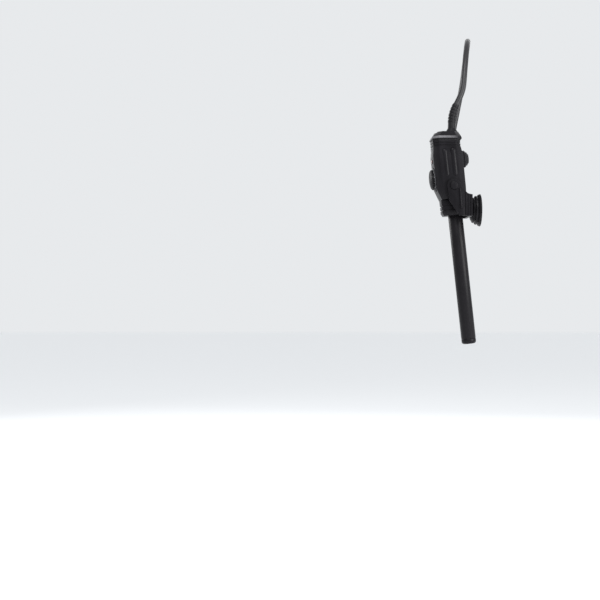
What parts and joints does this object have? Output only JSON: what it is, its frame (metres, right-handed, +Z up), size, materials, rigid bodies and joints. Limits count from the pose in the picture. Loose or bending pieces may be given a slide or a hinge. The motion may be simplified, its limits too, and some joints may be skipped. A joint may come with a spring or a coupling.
{
  "type": "submersible aquarium heater",
  "caption": "Slim submersible aquarium heater: octagonal control head with side temperature knob, black heating rod, tilting suction-cup bracket and mains cord with plug.",
  "frame": {"origin": "centre of the lower suction cup's rim, on the glass wall that carries the heater", "axes": "+X out of the cup's rim into the glass, +Z up along the wall, the heater leaning a few degrees from +Z; +Y completes the right-handed frame, away from the viewer"},
  "size_m": [0.0395, 0.1335, 0.2446],
  "materials": {
    "casing": "satin moulded",
    "tube": "satin black tube",
    "knob": "satin moulded",
    "scale": "satin",
    "bracket": "satin moulded",
    "soft_rubber": "matte",
    "seal_rubber": "matte",
    "cable": "satin pvc",
    "ceramic": "matte",
    "resistance_wire": "drawn",
    "plated_pin": "nickel plated",
    "board": "laminate",
    "component": "moulded",
    "brass_part": "turned",
    "red_lens": "clear red"
  },
  "bodies": {
    "wall_cup": {"lower_suction_cup": "soft_rubber", "cup_stud": "bracket"},
    "bracket": {"swivel_bracket": "bracket", "pivot_pins": "bracket"},
    "heater": {"head_shell": "casing", "head_cap": "casing", "cap_gasket": "seal_rubber", "cable_gland": "soft_rubber", "gland_nut": "brass_part", "heater_tube": "tube", "tube_end_plug": "casing", "tube_collar": "casing", "spacer_pad": "soft_rubber", "ceramic_core": "ceramic", "heating_coil": "resistance_wire", "core_spacer_lower": "ceramic", "core_spacer_upper": "ceramic", "lead_wires": "resistance_wire", "terminal_block": "component", "temperature_trimmer": "component", "spindle_bush": "brass_part", "spindle_seal": "seal_rubber", "circuit_board": "board", "switching_triac": "component", "smoothing_capacitor": "component", "thermal_fuse": "plated_pin", "temperature_sensor": "component", "indicator_lens": "red_lens", "indicator_lamp": "component", "scale_ring": "scale", "tube_seal": "seal_rubber", "cord_tube": "cable", "cord_tail": "cable", "cord_coil": "cable", "coil_tie": "seal_rubber", "plug_relief": "cable", "plug_body": "cable", "plug_pins": "plated_pin"},
    "knob": {"temperature_knob": "knob", "knob_spindle": "component"}
  },
  "joints": [
    {"name": "mount_swivel", "type": "hinge", "parent": "wall_cup", "child": "bracket", "pos_m": [-0.009, 0, 0], "axis": [1, 0, 0], "range_deg": [-90, 90]},
    {"name": "holder_tilt", "type": "hinge", "parent": "bracket", "child": "heater", "pos_m": [-0.0221, 0, 0.0178], "axis": [0, 1, 0], "range_deg": [-1, 10]},
    {"name": "temperature_knob_turn", "type": "hinge", "parent": "heater", "child": "knob", "pos_m": [-0.03553, 0, 0.02351], "axis": [-0.9942, 0, -0.1073], "range_deg": [-135, 135]}
  ]
}
